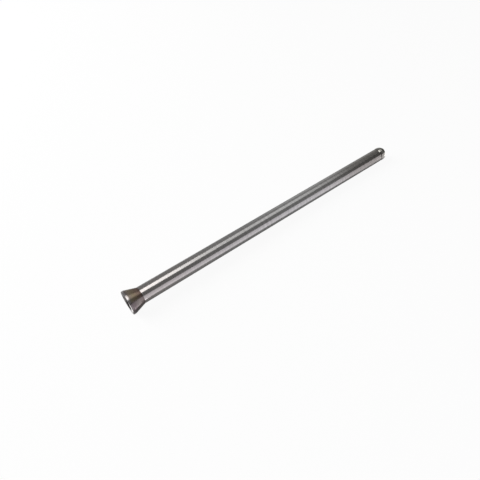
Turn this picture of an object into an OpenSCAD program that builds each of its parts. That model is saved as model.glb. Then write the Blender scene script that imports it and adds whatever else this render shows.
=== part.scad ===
// Engine pushrod: a steel tube with a flared socket at one end and a ball at the other.
// It lies along +X. The origin is the centre of the socket's spherical seat.

/* [Tube] */
// Outside diameter of the tube
tube_d = 9.5; // [8:0.1:11]
// Wall of the tube
tube_wall = 2; // [1.2:0.1:2.6]
// Length of the tube, from the cup's cone to the ball's neck
tube_len = 198; // [60:0.5:320]
// Chamfer where the tube's ends meet the other pieces
edge_chamfer = 0.15; // [0.1:0.05:0.6]

/* [Cup end] */
// Largest diameter of the cup, at its rim
rim_d = 13.6; // [12.5:0.1:17]
// Length of the straight band at the rim, from the mouth to the cone
rim_band = 1.3; // [0.65:0.05:2.5]
// Radius that rounds the outer edge of the rim
rim_round = 0.2; // [0.1:0.05:0.6]
// Length of the cup's flare, from the mouth to the tube
cone_len = 7.8; // [7.2:0.1:12]
// Diameter of the spherical seat that takes the rocker's ball
socket_d = 8; // [6:0.1:8.4]
// Depth of the seat's centre below the mouth
socket_sink = 1.6; // [1:0.1:2.4]
// Chamfer round the mouth of the socket
mouth_chamfer = 0.4; // [0.2:0.05:0.7]

/* [Ball end] */
// Diameter of the ball that sits in the tappet
ball_d = 9.7; // [8.4:0.1:11]
// Depth of the neck, below the smaller of the ball and the tube
neck_depth = 0.75; // [0.3:0.05:1.5]
// Length of the neck that shows between the tube and the ball
neck_len = 0.7; // [0.2:0.1:2]

/* [Spigots] */
// Length of the spigot that holds each end in the tube
spigot_len = 9; // [4:0.5:20]
// Chamfer on the inner end of each spigot
spigot_chamfer = 0.5; // [0.2:0.1:0.8]
// Radial gap between a spigot and the bore that holds it
spigot_gap = 0.01; // [0:0.005:0.05]

/* [Hidden] */
$fn = 96;

tube_r = tube_d / 2;
tube_face_r = tube_r - edge_chamfer;
bore_r = tube_r - tube_wall;
spigot_r = bore_r - spigot_gap;
rim_r = rim_d / 2;
round_r = rim_r - rim_round;
socket_r = socket_d / 2;
ball_r = ball_d / 2;
neck_r = min(tube_r, ball_r) - neck_depth;

// Stations along the axis
mouth_x = -socket_sink;
round_x = mouth_x + rim_round;
band_x = mouth_x + rim_band;
root_x = mouth_x + cone_len;
shoulder_x = root_x - edge_chamfer;
tube_end_x = root_x + tube_len;
ball_back_x = tube_end_x + neck_len;
ball_x = ball_back_x + sqrt(pow(ball_r, 2) - pow(neck_r, 2));

// Outline points of a spigot, from the tube's end face at from_x into the tube
function spigot_points(from_x, inward) = [
    [spigot_r, from_x],
    [spigot_r, from_x + inward * (spigot_len - spigot_chamfer)],
    [spigot_r - spigot_chamfer, from_x + inward * spigot_len],
    [0, from_x + inward * spigot_len]
];

function reversed(points) = [for (i = [len(points) - 1:-1:0]) points[i]];

// Turns an outline, drawn as radius against distance along the rod, about the rod's axis
module turned_along_x() {
    rotate([0, 90, 0])
        rotate_extrude()
            children();
}

// Solid flare: a rounded rim, its straight band, the cone, a chamfered root and the spigot behind it
module cone_outline() {
    polygon(concat(
        [
            [0, mouth_x],
            [round_r, mouth_x],
            [round_r, round_x],
            [rim_r, round_x],
            [rim_r, band_x],
            [tube_r, shoulder_x],
            [tube_face_r, root_x]
        ],
        spigot_points(root_x, 1)
    ));
    translate([round_r, round_x])
        circle(rim_round);
}

// Hollow of the cup: a chamfered straight mouth that ends in the spherical seat
module socket_outline() {
    circle(socket_r);
    polygon([
        [0, 0],
        [socket_r, 0],
        [socket_r, mouth_x + mouth_chamfer],
        [socket_r + mouth_chamfer, mouth_x],
        [0, mouth_x]
    ]);
}

// Half outline of the ball, from its neck to its tip
module ball_outline() {
    intersection() {
        translate([0, ball_x])
            circle(ball_r);
        translate([0, ball_back_x])
            square([ball_r, ball_d]);
    }
}

// Neck behind the ball and the spigot behind the neck
module stem_outline() {
    polygon(concat(
        reversed(spigot_points(tube_end_x, -1)),
        [
            [neck_r, tube_end_x],
            [neck_r, ball_x],
            [0, ball_x]
        ]
    ));
}

module tube() {
    color("silver")
        turned_along_x()
            polygon([
                [bore_r, root_x],
                [tube_face_r, root_x],
                [tube_r, root_x + edge_chamfer],
                [tube_r, tube_end_x - edge_chamfer],
                [tube_face_r, tube_end_x],
                [bore_r, tube_end_x]
            ]);
}

module cup_end() {
    color([0.38, 0.33, 0.27])
        turned_along_x()
            difference() {
                cone_outline();
                socket_outline();
            }
}

module ball_end() {
    color([0.36, 0.35, 0.31])
        turned_along_x()
            union() {
                ball_outline();
                stem_outline();
            }
}

tube();
cup_end();
ball_end();
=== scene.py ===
import math

import bpy
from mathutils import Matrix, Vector


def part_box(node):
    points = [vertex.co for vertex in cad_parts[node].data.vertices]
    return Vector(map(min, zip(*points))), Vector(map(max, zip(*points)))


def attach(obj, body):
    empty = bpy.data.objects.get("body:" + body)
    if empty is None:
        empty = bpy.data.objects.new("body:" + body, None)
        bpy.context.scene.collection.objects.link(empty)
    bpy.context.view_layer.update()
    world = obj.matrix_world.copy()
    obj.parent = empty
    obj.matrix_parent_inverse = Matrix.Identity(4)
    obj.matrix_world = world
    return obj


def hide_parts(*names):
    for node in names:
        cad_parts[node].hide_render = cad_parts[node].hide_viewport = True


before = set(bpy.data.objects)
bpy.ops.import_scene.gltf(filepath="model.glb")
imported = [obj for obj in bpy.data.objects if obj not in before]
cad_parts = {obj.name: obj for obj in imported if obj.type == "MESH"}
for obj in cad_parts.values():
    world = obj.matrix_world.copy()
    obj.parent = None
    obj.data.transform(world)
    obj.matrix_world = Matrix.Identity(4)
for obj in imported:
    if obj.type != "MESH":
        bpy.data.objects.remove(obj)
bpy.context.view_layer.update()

# Sizes of the part in millimetres, as its source gives them
MM = 0.001
TUBE_R = 4.75
BORE_R = 2.75
EDGE_CHAMFER = 0.15
RIM_R = 6.8
RIM_BAND = 1.3
RIM_ROUND = 0.2
SOCKET_R = 4.0
MOUTH_CHAMFER = 0.4
BALL_R = 4.85
NECK_R = 4.0
SPIGOT_R = 2.74
SPIGOT_CHAMFER = 0.5

# Stations along the rod in millimetres, read from the solids
ROOT_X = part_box("tube")[0].x / MM
TUBE_END_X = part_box("tube")[1].x / MM
MOUTH_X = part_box("cup_end")[0].x / MM
CUP_SPIGOT_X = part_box("cup_end")[1].x / MM
BALL_SPIGOT_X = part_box("ball_end")[0].x / MM
TIP_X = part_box("ball_end")[1].x / MM
BALL_X = TIP_X - BALL_R
BALL_BACK_X = BALL_X - math.sqrt(BALL_R ** 2 - NECK_R ** 2)

# Fineness of the turned meshes, with lengths in millimetres
SEGMENTS = 192
EDGE_SOFT = 0.05
BAND_SOFT = 0.5
ARC_STEP = math.radians(6)
LONGEST_STRIP = 4.0
TINY = 1e-6

# Outlines of the turned pieces, as distance along the rod against radius


def corner(x, r, soft=0.0):
    """A corner of an outline, rounded to the radius soft."""
    return {"x": x, "r": r, "soft": soft}


def arc(x, radius, start, end):
    """A circular stretch of an outline, with its centre on the axis at x. Angles are in radians."""
    return {"centre": x, "radius": radius, "start": start, "end": end}


def tube_outline():
    return [
        corner(ROOT_X, BORE_R, EDGE_SOFT),
        corner(ROOT_X, TUBE_R - EDGE_CHAMFER, EDGE_SOFT),
        corner(ROOT_X + EDGE_CHAMFER, TUBE_R, EDGE_SOFT),
        corner(TUBE_END_X - EDGE_CHAMFER, TUBE_R, EDGE_SOFT),
        corner(TUBE_END_X, TUBE_R - EDGE_CHAMFER, EDGE_SOFT),
        corner(TUBE_END_X, BORE_R, EDGE_SOFT),
    ]


def cup_outline():
    return [
        arc(0, SOCKET_R, 0, math.pi / 2),
        corner(MOUTH_X + MOUTH_CHAMFER, SOCKET_R, EDGE_SOFT),
        corner(MOUTH_X, SOCKET_R + MOUTH_CHAMFER, EDGE_SOFT),
        corner(MOUTH_X, RIM_R, RIM_ROUND),
        corner(MOUTH_X + RIM_BAND, RIM_R, BAND_SOFT),
        corner(ROOT_X - EDGE_CHAMFER, TUBE_R, EDGE_SOFT),
        corner(ROOT_X, TUBE_R - EDGE_CHAMFER, EDGE_SOFT),
        corner(ROOT_X, SPIGOT_R, EDGE_SOFT),
        corner(CUP_SPIGOT_X - SPIGOT_CHAMFER, SPIGOT_R, EDGE_SOFT),
        corner(CUP_SPIGOT_X, SPIGOT_R - SPIGOT_CHAMFER, EDGE_SOFT),
        corner(CUP_SPIGOT_X, 0),
    ]


def ball_outline():
    return [
        corner(BALL_SPIGOT_X, 0),
        corner(BALL_SPIGOT_X, SPIGOT_R - SPIGOT_CHAMFER, EDGE_SOFT),
        corner(BALL_SPIGOT_X + SPIGOT_CHAMFER, SPIGOT_R, EDGE_SOFT),
        corner(TUBE_END_X, SPIGOT_R, EDGE_SOFT),
        corner(TUBE_END_X, NECK_R, EDGE_SOFT),
        arc(BALL_X, BALL_R, math.pi - math.asin(NECK_R / BALL_R), 0),
    ]


# Meshes turned from the outlines


def left_normal(step):
    """The side that faces out of the steel, for an outline that keeps the steel on its right."""
    return Vector((-step.y, step.x)).normalized()


def swept(centre, radius, start, end, sign):
    """Points of a circular stretch, each with the normal there."""
    count = max(2, math.ceil(abs(end - start) / ARC_STEP))
    run = []
    for i in range(count + 1):
        angle = start + (end - start) * i / count
        out = Vector((math.cos(angle), math.sin(angle)))
        run.append((centre + out * radius, out * sign))
    return run


def rounded(before, at, after, soft):
    """The round that softens the corner between two straight stretches."""
    back = (before - at).normalized()
    ahead = (after - at).normalized()
    half = back.angle(ahead) / 2
    centre = at + (back + ahead).normalized() * (soft / math.sin(half))
    first = at + back * (soft / math.tan(half)) - centre
    last = at + ahead * (soft / math.tan(half)) - centre
    start = math.atan2(first.y, first.x)
    turn = math.atan2(last.y, last.x) - start
    turn = (turn + math.pi) % (2 * math.pi) - math.pi
    sign = -1 if turn > 0 else 1
    return swept(centre, soft, start, start + turn, sign)


def arc_run(stretch):
    """Points and normals of an arc whose centre is on the axis."""
    sign = -1 if stretch["end"] > stretch["start"] else 1
    centre = Vector((stretch["centre"], 0))
    return swept(centre, stretch["radius"], stretch["start"], stretch["end"], sign)


def ends_of(stretch):
    """Where a corner or an arc starts and ends, before any rounding."""
    if "soft" in stretch:
        point = Vector((stretch["x"], stretch["r"]))
        return point, point
    run = arc_run(stretch)
    return run[0][0], run[-1][0]


def straight(start, end):
    """Points and normals of a straight stretch, cut so that no strip is too long."""
    step = end - start
    normal = left_normal(step)
    count = max(1, math.ceil(step.length / LONGEST_STRIP))
    return [(start + step * (i / count), normal) for i in range(count + 1)]


def bent_runs(outline):
    """For each corner or arc of an outline, its points and normals. A sharp corner is one point."""
    count = len(outline)
    bent = []
    for i, stretch in enumerate(outline):
        if "soft" not in stretch:
            bent.append(arc_run(stretch))
            continue
        at = Vector((stretch["x"], stretch["r"]))
        if stretch["soft"] > 0:
            before = ends_of(outline[(i - 1) % count])[1]
            after = ends_of(outline[(i + 1) % count])[0]
            bent.append(rounded(before, at, after, stretch["soft"]))
        else:
            bent.append([(at, None)])
    return bent


def runs_of(outline, closed):
    """The outline as smooth runs of points and normals, in order."""
    bent = bent_runs(outline)
    count = len(bent)
    runs = []
    for i in range(count):
        if len(bent[i]) > 1:
            runs.append(bent[i])
        if i + 1 == count and not closed:
            break
        start = bent[i][-1][0]
        end = bent[(i + 1) % count][0][0]
        if (end - start).length > TINY:
            runs.append(straight(start, end))
    return runs


def turned(name, outline, closed):
    """A mesh turned about the rod's axis from an outline."""
    verts = []
    faces = []
    normals = []
    angles = [2 * math.pi * j / SEGMENTS for j in range(SEGMENTS)]

    def ring(point):
        start = len(verts)
        if point.y < TINY:
            verts.append((point.x * MM, 0.0, 0.0))
            return [start] * SEGMENTS
        for angle in angles:
            y = point.y * math.cos(angle)
            z = point.y * math.sin(angle)
            verts.append((point.x * MM, y * MM, z * MM))
        return [start + j for j in range(SEGMENTS)]

    def facing(normal, angle):
        return (normal.x, normal.y * math.cos(angle), normal.y * math.sin(angle))

    runs = runs_of(outline, closed)
    first = ring(runs[0][0][0])
    lower = first
    for k, run in enumerate(runs):
        for (_, normal_a), (point_b, normal_b) in zip(run, run[1:]):
            last = closed and k == len(runs) - 1 and point_b is run[-1][0]
            upper = first if last else ring(point_b)
            for j in range(SEGMENTS):
                n = (j + 1) % SEGMENTS
                here = angles[j]
                there = angles[n]
                face = [lower[j], lower[n], upper[n], upper[j]]
                facings = [
                    facing(normal_a, here),
                    facing(normal_a, there),
                    facing(normal_b, there),
                    facing(normal_b, here),
                ]
                if face[0] == face[1]:
                    face = face[1:]
                    facings = facings[1:]
                elif face[2] == face[3]:
                    face = face[:3]
                    facings = facings[:3]
                faces.append(face)
                normals.extend(facings)
            lower = upper
    mesh = bpy.data.meshes.new(name)
    mesh.from_pydata(verts, [], faces)
    mesh.shade_smooth()
    mesh.normals_split_custom_set(normals)
    piece = bpy.data.objects.new(name, mesh)
    bpy.context.scene.collection.objects.link(piece)
    return piece


# Nodes, joined by their output sockets

WHITE = (1.0, 1.0, 1.0)
MICRON = 1e-6

# Range that holds nearly all of a noise, and how rough the noise is
NOISE_LOW = 0.3
NOISE_HIGH = 0.7
NOISE_ROUGHNESS = 0.55

# Sockets of a colour Mix node, by number because several share a name
MIX_FACTOR = 0
MIX_FIRST = 6
MIX_SECOND = 7
MIX_COLOUR = 2

# Quarter turn of the anisotropy, so that highlights run across the marks round the rod
ACROSS_MARKS = 0.25


def grey(level):
    return (level, level, level)


def add(tree, kind, values=None, **settings):
    """A new node with its settings and its input values."""
    made = tree.nodes.new(kind)
    for name, value in settings.items():
        setattr(made, name, value)
    for name, value in (values or {}).items():
        made.inputs[name].default_value = value
    return made


def feed(tree, source, socket):
    """Sets an input to a number, or links an output to it."""
    if isinstance(source, float):
        socket.default_value = source
    else:
        tree.links.new(source, socket)


def split(tree, vector):
    """The X, Y and Z of a vector, by name."""
    parts = add(tree, "ShaderNodeSeparateXYZ")
    feed(tree, vector, parts.inputs["Vector"])
    return parts.outputs


def point_on_rod(tree):
    """The point itself, and its X, Y and Z, in metres."""
    point = add(tree, "ShaderNodeTexCoord").outputs["Object"]
    return point, split(tree, point)


def way_round(tree, parts):
    """The way from the axis to the point: its Z is 1 along the top, 0 at the sides and -1 underneath."""
    across = add(tree, "ShaderNodeCombineXYZ")
    feed(tree, parts["Y"], across.inputs["Y"])
    feed(tree, parts["Z"], across.inputs["Z"])
    unit = add(tree, "ShaderNodeVectorMath", operation="NORMALIZE")
    feed(tree, across.outputs["Vector"], unit.inputs[0])
    return split(tree, unit.outputs["Vector"])


def noise(tree, point, along, across, detail):
    """Noise whose grains are 1/along metres long down the rod and 1/across metres wide round it."""
    mapping = add(tree, "ShaderNodeMapping", {"Scale": (along, across, across)})
    feed(tree, point, mapping.inputs["Vector"])
    values = {"Scale": 1.0, "Detail": detail, "Roughness": NOISE_ROUGHNESS}
    made = add(tree, "ShaderNodeTexNoise", values)
    feed(tree, mapping.outputs["Vector"], made.inputs["Vector"])
    return made.outputs["Fac"]


def ranged(tree, source, low, high, to_low, to_high):
    """A value carried from one range to another and held there."""
    made = add(tree, "ShaderNodeMapRange", {
        "From Min": low,
        "From Max": high,
        "To Min": to_low,
        "To Max": to_high,
    })
    feed(tree, source, made.inputs["Value"])
    return made.outputs["Result"]


def ramp(tree, source, stops):
    """Colours along a value, from a list of places and colours."""
    made = add(tree, "ShaderNodeValToRGB")
    elements = made.color_ramp.elements
    while len(elements) < len(stops):
        elements.new(1.0)
    for element, (place, colour) in zip(elements, stops):
        element.position = place
        element.color = (*colour, 1.0)
    feed(tree, source, made.inputs["Fac"])
    return made.outputs["Color"]


def mixed(tree, blend, factor, first, second):
    """Two colours blended."""
    made = add(tree, "ShaderNodeMix", data_type="RGBA", blend_type=blend)
    feed(tree, factor, made.inputs[MIX_FACTOR])
    feed(tree, first, made.inputs[MIX_FIRST])
    feed(tree, second, made.inputs[MIX_SECOND])
    return made.outputs[MIX_COLOUR]


def maths(tree, operation, *sources):
    """A sum, a product or the like of outputs and numbers."""
    made = add(tree, "ShaderNodeMath", operation=operation)
    for source, socket in zip(sources, made.inputs):
        feed(tree, source, socket)
    return made.outputs["Value"]


def by_ray(tree, seen, mirrored):
    """A value for the camera, and another for reflections and glass."""
    ray = add(tree, "ShaderNodeLightPath").outputs
    through = maths(tree, "ADD", ray["Is Glossy Ray"], ray["Is Transmission Ray"])
    scaled = maths(tree, "MULTIPLY", through, mirrored)
    return maths(tree, "MULTIPLY_ADD", ray["Is Camera Ray"], seen, scaled)


def blended(tree, share, first, second):
    """Two shaders in one. The share is the second's."""
    made = add(tree, "ShaderNodeMixShader")
    feed(tree, share, made.inputs["Fac"])
    feed(tree, first, made.inputs[1])
    feed(tree, second, made.inputs[2])
    return made.outputs["Shader"]


# Steels


def steel(name, anisotropy):
    """A bare steel, with its highlight drawn out by the marks round the rod."""
    material = bpy.data.materials.new(name)
    material.use_nodes = True
    tree = material.node_tree
    shader = tree.nodes["Principled BSDF"]
    shader.inputs["Metallic"].default_value = 1.0
    shader.inputs["Anisotropic"].default_value = anisotropy
    shader.inputs["Anisotropic Rotation"].default_value = ACROSS_MARKS
    tangent = add(tree, "ShaderNodeTangent", direction_type="RADIAL", axis="X")
    feed(tree, tangent.outputs["Tangent"], shader.inputs["Tangent"])
    return material, tree, shader


def finished(tree, shader, colour, roughness, marks, depth):
    """Gives a steel its colour, its roughness and the relief of its marks, depth metres deep."""
    feed(tree, colour, shader.inputs["Base Color"])
    feed(tree, roughness, shader.inputs["Roughness"])
    bump = add(tree, "ShaderNodeBump", {"Strength": 1.0, "Distance": depth})
    feed(tree, marks, bump.inputs["Height"])
    feed(tree, bump.outputs["Normal"], shader.inputs["Normal"])


def tube_steel():
    material, tree, shader = steel("tube_steel", anisotropy=0.6)
    point, parts = point_on_rod(tree)
    # Slightly warm near the cup, neutral along the middle, and darker and olive near the ball: a painted
    # shade standing in for the dark room the steel mirrors there
    tone_end = 0.21
    along = ranged(tree, parts["X"], 0.0, tone_end, 0.0, 1.0)
    tone = ramp(tree, along, [
        (0.0, (0.566, 0.529, 0.512)),
        (0.25, (0.562, 0.547, 0.536)),
        (0.55, (0.560, 0.556, 0.552)),
        (0.72, (0.550, 0.540, 0.530)),
        # These last two stops are the painted shade near the ball
        (0.84, (0.415, 0.395, 0.375)),
        (1.0, (0.345, 0.328, 0.303)),
    ])
    # Grinding marks round the tube: broad ones, which show best away from the cup, and fine ones
    faint_until = 0.03
    clear_from = 0.07
    broad = noise(tree, point, along=620.0, across=6.0, detail=1.5)
    fine = noise(tree, point, along=3600.0, across=12.0, detail=3.0)
    shade = ramp(tree, broad, [
        (0.36, grey(0.86)),
        (0.64, grey(1.10)),
    ])
    strength = ranged(tree, parts["X"], faint_until, clear_from, 0.35, 0.85)
    colour = mixed(tree, "MULTIPLY", strength, tone, shade)
    roughness = ranged(tree, fine, NOISE_LOW, NOISE_HIGH, 0.19, 0.25)
    finished(tree, shader, colour, roughness, fine, 2.5 * MICRON)
    return material


def cup_steel():
    material, tree, shader = steel("cup_steel", anisotropy=0.5)
    point, parts = point_on_rod(tree)
    # Heat tint: grey bare steel at the rim, palest over the band's outer half, a painted highlight that
    # places its glint there; olive brown down the cone, redder in patches and at the root
    along = ranged(tree, parts["X"], MOUTH_X * MM, ROOT_X * MM, 0.0, 1.0)
    wander = noise(tree, point, along=260.0, across=260.0, detail=3.0)
    drift = ranged(tree, wander, 0.2, 0.8, -0.05, 0.05)
    shifted = maths(tree, "ADD", along, drift)
    tint = ramp(tree, shifted, [
        (0.0, (0.66, 0.63, 0.63)),
        (0.06, (0.62, 0.59, 0.58)),
        (0.13, (0.40, 0.365, 0.34)),
        (0.20, (0.38, 0.33, 0.26)),
        (0.30, (0.39, 0.33, 0.24)),
        (0.50, (0.36, 0.285, 0.195)),
        (0.69, (0.33, 0.245, 0.185)),
        (0.85, (0.29, 0.207, 0.170)),
        (0.97, (0.22, 0.158, 0.133)),
    ])
    patch = noise(tree, point, along=900.0, across=520.0, detail=2.0)
    spread = ranged(tree, patch, 0.48, 0.66, 0.0, 0.6)
    red = ramp(tree, shifted, [
        (0.15, (0.30, 0.235, 0.225)),
        (0.55, (0.30, 0.215, 0.165)),
        (0.95, (0.27, 0.175, 0.150)),
    ])
    patched = mixed(tree, "MIX", spread, tint, red)
    # Painted reflection: the sides and the underside take less of the tint and a greyer, mauve tone instead,
    # standing in for the floor the steel mirrors there
    painted_underside = ranged(tree, way_round(tree, parts)["Z"], 0.78, 0.68, 0.0, 0.92)
    # These greyer, mauve tones are the painted reflection on the sides and underside
    plain = ramp(tree, shifted, [
        (0.08, (0.215, 0.183, 0.190)),
        (0.28, (0.180, 0.150, 0.160)),
        (0.49, (0.228, 0.205, 0.204)),
        (0.68, (0.290, 0.262, 0.250)),
        (0.84, (0.258, 0.222, 0.212)),
    ])
    # Mixes the painted reflection onto the sides and underside of the cup
    tint_and_painted_underside = mixed(tree, "MIX", painted_underside, patched, plain)
    # The flat land round the mouth is even and bare
    land_end = (MOUTH_X + 0.03) * MM
    tint_start = (MOUTH_X + 0.15) * MM
    land = ranged(tree, parts["X"], land_end, tint_start, 1.0, 0.0)
    lapped = ramp(tree, wander, [
        (NOISE_LOW, (0.38, 0.355, 0.350)),
        (NOISE_HIGH, (0.44, 0.415, 0.410)),
    ])
    faced = mixed(tree, "MIX", land, tint_and_painted_underside, lapped)
    turning = noise(tree, point, along=2600.0, across=60.0, detail=4.0)
    shade = ramp(tree, turning, [
        (NOISE_LOW, grey(0.92)),
        (NOISE_HIGH, grey(1.05)),
    ])
    colour = mixed(tree, "MULTIPLY", 1.0, faced, shade)
    roughness = ranged(tree, wander, NOISE_LOW, NOISE_HIGH, 0.22, 0.32)
    finished(tree, shader, colour, roughness, turning, 4.0 * MICRON)
    return material


def seat_steel_painted_shade():
    # Painted shade: the steel inside the socket is made very dark, standing in for the shade in the cup's
    # hollow
    material, tree, shader = steel("seat_steel_painted_shade", anisotropy=0.3)
    point, parts = point_on_rod(tree)
    deep = ranged(tree, parts["X"], MOUTH_X * MM, SOCKET_R * MM, 0.0, 1.0)
    tone = ramp(tree, deep, [
        (0.0, (0.16, 0.15, 0.145)),
        (0.35, (0.12, 0.11, 0.105)),
        (1.0, (0.15, 0.135, 0.12)),
    ])
    lapped = noise(tree, point, along=2200.0, across=220.0, detail=4.0)
    shade = ramp(tree, lapped, [
        (NOISE_LOW, grey(0.90)),
        (NOISE_HIGH, grey(1.05)),
    ])
    colour = mixed(tree, "MULTIPLY", 1.0, tone, shade)
    roughness = ranged(tree, lapped, NOISE_LOW, NOISE_HIGH, 0.24, 0.36)
    finished(tree, shader, colour, roughness, lapped, 3.0 * MICRON)
    return material


def ball_steel():
    material, tree, shader = steel("ball_steel", anisotropy=0.0)
    point, parts = point_on_rod(tree)
    cloud = noise(tree, point, along=420.0, across=420.0, detail=3.0)
    polished = ramp(tree, cloud, [
        (NOISE_LOW, (0.40, 0.39, 0.355)),
        (NOISE_HIGH, (0.47, 0.46, 0.425)),
    ])
    # This dark colour is the painted shade of the groove
    painted_seam_shade = ramp(tree, cloud, [
        (NOISE_LOW, (0.055, 0.050, 0.044)),
        (NOISE_HIGH, (0.090, 0.082, 0.074)),
    ])
    # Painted shade: the neck and the first of the ball are darkened as the groove's shadow, but for the
    # ball's top on one side, left unshaded where its highlight shows
    dark_until = (BALL_BACK_X + 0.35) * MM
    shade_gone_from = (BALL_BACK_X + 0.9) * MM
    ball_start = BALL_BACK_X * MM
    ball_full = (BALL_BACK_X + 0.1) * MM
    # The painted shade fades out along the rod here
    bare = ranged(tree, parts["X"], dark_until, shade_gone_from, 0.0, 1.0)
    way = way_round(tree, parts)
    on_top = ranged(tree, way["Z"], 0.74, 0.90, 0.0, 1.0)
    one_side = ranged(tree, way["Y"], 0.0, 0.12, 1.0, 0.0)
    on_ball = ranged(tree, parts["X"], ball_start, ball_full, 0.0, 1.0)
    top_side = maths(tree, "MULTIPLY", on_top, one_side)
    unshaded_highlight_spot = maths(tree, "MULTIPLY", top_side, on_ball)
    unshaded = maths(tree, "MAXIMUM", bare, unshaded_highlight_spot)
    # Painted shade where the steel is not left unshaded
    colour = mixed(tree, "MIX", unshaded, painted_seam_shade, polished)
    polish = noise(tree, point, along=3000.0, across=300.0, detail=3.0)
    smooth = ranged(tree, polish, NOISE_LOW, NOISE_HIGH, 0.09, 0.16)
    dull = ranged(tree, unshaded, 0.0, 1.0, 0.15, 0.0)
    roughness = maths(tree, "ADD", smooth, dull)
    finished(tree, shader, colour, roughness, polish, 1.2 * MICRON)
    return material


# Pieces of the rod

SEAT_MARGIN = 0.1
SEAT_R = (SOCKET_R + MOUTH_CHAMFER) * MM
SEAT_END_X = (SOCKET_R + SEAT_MARGIN) * MM
SEAT_MATERIAL = 1

tube = turned("tube_shank", tube_outline(), True)
cup = turned("socket_cup", cup_outline(), False)
ball = turned("ball_tip", ball_outline(), False)
tube.data.materials.append(tube_steel())
cup.data.materials.append(cup_steel())
cup.data.materials.append(seat_steel_painted_shade())
ball.data.materials.append(ball_steel())
# Faces inside the socket take the dark steel of painted shade
for face in cup.data.polygons:
    middle = face.center
    if middle.x < SEAT_END_X and math.hypot(middle.y, middle.z) < SEAT_R:
        face.material_index = SEAT_MATERIAL
for piece, node, slot in (
    (tube, "tube", "tube_steel"),
    (cup, "cup_end", "cup_steel"),
    (ball, "ball_end", "ball_steel"),
):
    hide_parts(node)
    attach(piece, "root")

# Floor, in metres, tilted so that the rim and the ball both rest on it

FLOOR_HALF = 4.0
REST_X = (MOUTH_X + RIM_BAND) * MM
REST_Z = -RIM_R * MM
FAR_REST_X = BALL_X * MM
SLOPE = (RIM_R - BALL_R) * MM / (FAR_REST_X - REST_X)

# Shares of plain white in the floor, to the camera and in the steel, and how bright the steel mirrors it
FLOOR_SEEN_SHARE = 0.94
FLOOR_MIRRORED_SHARE = 0.8
FLOOR_MIRRORED = 0.25
PAPER_TONE = 0.9


def floor_height(x):
    return REST_Z + SLOPE * (x - REST_X)


def floor_paper():
    """White paper, partly plain white so that it stays pale and keeps its shadow. Steel mirrors it dimly."""
    material = bpy.data.materials.new("floor_paper")
    material.use_nodes = True
    tree = material.node_tree
    tree.nodes.clear()
    output = add(tree, "ShaderNodeOutputMaterial")
    paper = add(tree, "ShaderNodeBsdfDiffuse", {"Color": (*grey(PAPER_TONE), 1.0)})
    white = add(tree, "ShaderNodeEmission", {"Color": (*WHITE, 1.0)})
    feed(tree, by_ray(tree, 1.0, FLOOR_MIRRORED), white.inputs["Strength"])
    share = by_ray(tree, FLOOR_SEEN_SHARE, FLOOR_MIRRORED_SHARE)
    surface = blended(tree, share, paper.outputs["BSDF"], white.outputs["Emission"])
    feed(tree, surface, output.inputs["Surface"])
    return material


floor_corners = []
for x, y in ((-1, -1), (1, -1), (1, 1), (-1, 1)):
    floor_corners.append((x * FLOOR_HALF, y * FLOOR_HALF, floor_height(x * FLOOR_HALF)))
floor_mesh = bpy.data.meshes.new("floor")
floor_mesh.from_pydata(floor_corners, [], [(0, 1, 2, 3)])
floor = bpy.data.objects.new("floor", floor_mesh)
floor.data.materials.append(floor_paper())
bpy.context.scene.collection.objects.link(floor)

# Light, in metres

MAUVE = (1.0, 0.96, 1.025)
DOWN = (0.0, 0.0, 0.0)
FROM_FRONT = (math.pi / 2, 0.0, 0.0)
KEY_AT = Vector((-0.62, 0.68, 0.60))
KEY_AIM = Vector((0.08, 0.0, 0.0))
KEY_TURN = (KEY_AIM - KEY_AT).to_track_quat("-Z", "Y").to_euler()
JUST_ABOVE = 0.5 * MM


def panel(name, centre, size, turn, radiance, colour=WHITE, in_steel=True):
    """A soft rectangular light that only the steel shows, or else only the floor. Radiance 1 is white."""
    lamp = bpy.data.lights.new(name, "AREA")
    lamp.shape = "RECTANGLE"
    lamp.size = size[0]
    lamp.size_y = size[1]
    lamp.color = colour
    lamp.energy = radiance * math.pi * size[0] * size[1]
    light = bpy.data.objects.new(name, lamp)
    light.location = centre
    light.rotation_euler = turn
    light.visible_camera = False
    light.visible_diffuse = not in_steel
    light.visible_glossy = in_steel
    bpy.context.scene.collection.objects.link(light)


def low_panel(name, place, size, radiance, colour=WHITE, skew=0.0, above=JUST_ABOVE):
    """A panel that faces up, low over a place on the floor."""
    x, y = place
    turn = (math.pi, -math.atan(SLOPE), skew)
    panel(name, (x, y, floor_height(x) + above), size, turn, radiance, colour)


panel("overhead", (-0.215, 0.12, 0.80), (0.97, 0.58), DOWN, radiance=1.75)
panel("overhead_far", (0.575, 0.12, 0.80), (0.55, 0.58), DOWN, radiance=0.53)
panel("front", (0.375, -0.90, 0.22), (1.85, 0.45), FROM_FRONT, radiance=0.58, colour=MAUVE)
panel("front_far", (1.80, -0.90, 0.22), (0.90, 0.45), FROM_FRONT, radiance=1.2, colour=MAUVE)
panel("key", KEY_AT, (0.9, 0.9), KEY_TURN, radiance=8.0, in_steel=False)

# Low panel in front of the rod, with its near edge through a point and nearer to the rod towards the ball
FRONT_SIZE = (1.2, 0.85)
FRONT_SKEW = math.atan2(0.0116, 0.19)
FRONT_EDGE = Vector((0.1, -0.0140, 0.0))
away = Vector((math.sin(FRONT_SKEW), -math.cos(FRONT_SKEW), 0.0))
front = FRONT_EDGE + away * (FRONT_SIZE[1] / 2)
low_panel("front_low", front.xy, FRONT_SIZE, radiance=0.57, colour=MAUVE, skew=FRONT_SKEW)

# Small panel beside the cup, above the floor so that the tube hardly mirrors it
BESIDE_PLACE = (0.0053, -0.0126)
BESIDE_SIZE = (0.0076, 0.0045)
BESIDE_ABOVE = 4.0 * MM
low_panel("cup_low", BESIDE_PLACE, BESIDE_SIZE, radiance=1.3, colour=MAUVE, above=BESIDE_ABOVE)

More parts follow.
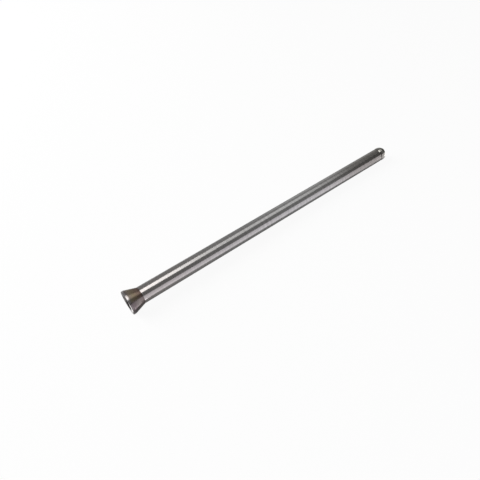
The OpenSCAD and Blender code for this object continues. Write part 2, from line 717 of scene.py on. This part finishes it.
# Narrow panel just ahead of the mouth
AHEAD_SIZE = (0.040, 0.005)
AHEAD_GAP = 0.0006
ahead_x = MOUTH_X * MM - AHEAD_GAP - AHEAD_SIZE[0] / 2
low_panel("mouth_low", (ahead_x, 0.0), AHEAD_SIZE, radiance=1.6)

# Small panel just past the ball, a little to the front
PAST_SIZE = (0.040, 0.026)
PAST_GAP = 0.005
PAST_Y = -0.008
past_x = TIP_X * MM + PAST_GAP + PAST_SIZE[0] / 2
low_panel("tip_low", (past_x, PAST_Y), PAST_SIZE, radiance=1.4)

# Surroundings

ROOM_MIRRORED_SHARE = 0.1


def room():
    """A dim room in the steel, darkest past the far end, and plain white to the camera."""
    world = bpy.data.worlds.new("room")
    world.use_nodes = True
    tree = world.node_tree
    tree.nodes.clear()
    output = add(tree, "ShaderNodeOutputWorld")
    dim = add(tree, "ShaderNodeBackground", {"Strength": 1.0})
    white = add(tree, "ShaderNodeBackground", {"Color": (*WHITE, 1.0), "Strength": 1.0})
    way = split(tree, add(tree, "ShaderNodeTexCoord").outputs["Generated"])
    behind = ranged(tree, way["Y"], 0.0, 0.8, 0.0, 0.1)
    beyond = ramp(tree, way["X"], [
        (0.0, grey(0.056)),
        (0.30, grey(0.072)),
        (0.46, grey(0.089)),
        (0.60, grey(0.19)),
        (0.66, grey(0.11)),
        (0.73, grey(0.01)),
    ])
    # Lighter behind the far end
    far = ranged(tree, way["X"], 0.68, 0.76, 0.0, 0.18)
    far_back = ranged(tree, way["Y"], 0.22, 0.56, 0.0, 1.0)
    behind_far = maths(tree, "MULTIPLY_ADD", far, far_back, behind)
    # Lighter low down behind the far half
    low_down = ranged(tree, way["Z"], 0.46, 0.10, 0.0, 0.27)
    past_middle = ramp(tree, way["X"], [
        (0.46, grey(0.0)),
        (0.54, grey(1.0)),
        (0.74, grey(1.0)),
        (0.80, grey(0.0)),
    ])
    at_back = ranged(tree, way["Y"], 0.0, 0.3, 0.0, 1.0)
    low_middle = maths(tree, "MULTIPLY", low_down, past_middle)
    behind_low = maths(tree, "MULTIPLY_ADD", low_middle, at_back, behind_far)
    feed(tree, maths(tree, "ADD", behind_low, beyond), dim.inputs["Color"])
    share = by_ray(tree, 1.0, ROOM_MIRRORED_SHARE)
    surface = blended(tree, share, dim.outputs["Background"], white.outputs["Background"])
    feed(tree, surface, output.inputs["Surface"])
    return world


bpy.context.scene.world = room()

# Camera, at the photograph's viewing angle, with lengths in metres but for the lens and the sensor

LENS = 27.131
SENSOR = 36.0
NEAREST = 0.01
AZIMUTH = math.radians(-38.831)
ELEVATION = math.radians(48.024)
DISTANCE = 0.219697
TARGET = Vector((0.072805, 0.0, -0.003136))

towards_camera = Vector((
    math.sin(AZIMUTH) * math.cos(ELEVATION),
    -math.cos(AZIMUTH) * math.cos(ELEVATION),
    math.sin(ELEVATION),
))
view = bpy.data.cameras.new("camera")
view.lens = LENS
view.sensor_width = SENSOR
view.clip_start = NEAREST
camera = bpy.data.objects.new("camera", view)
camera.location = TARGET + towards_camera * DISTANCE
camera.rotation_euler = (math.pi / 2 - ELEVATION, 0.0, AZIMUTH)
bpy.context.scene.collection.objects.link(camera)
bpy.context.scene.camera = camera
bpy.context.scene.view_settings.view_transform = "Standard"
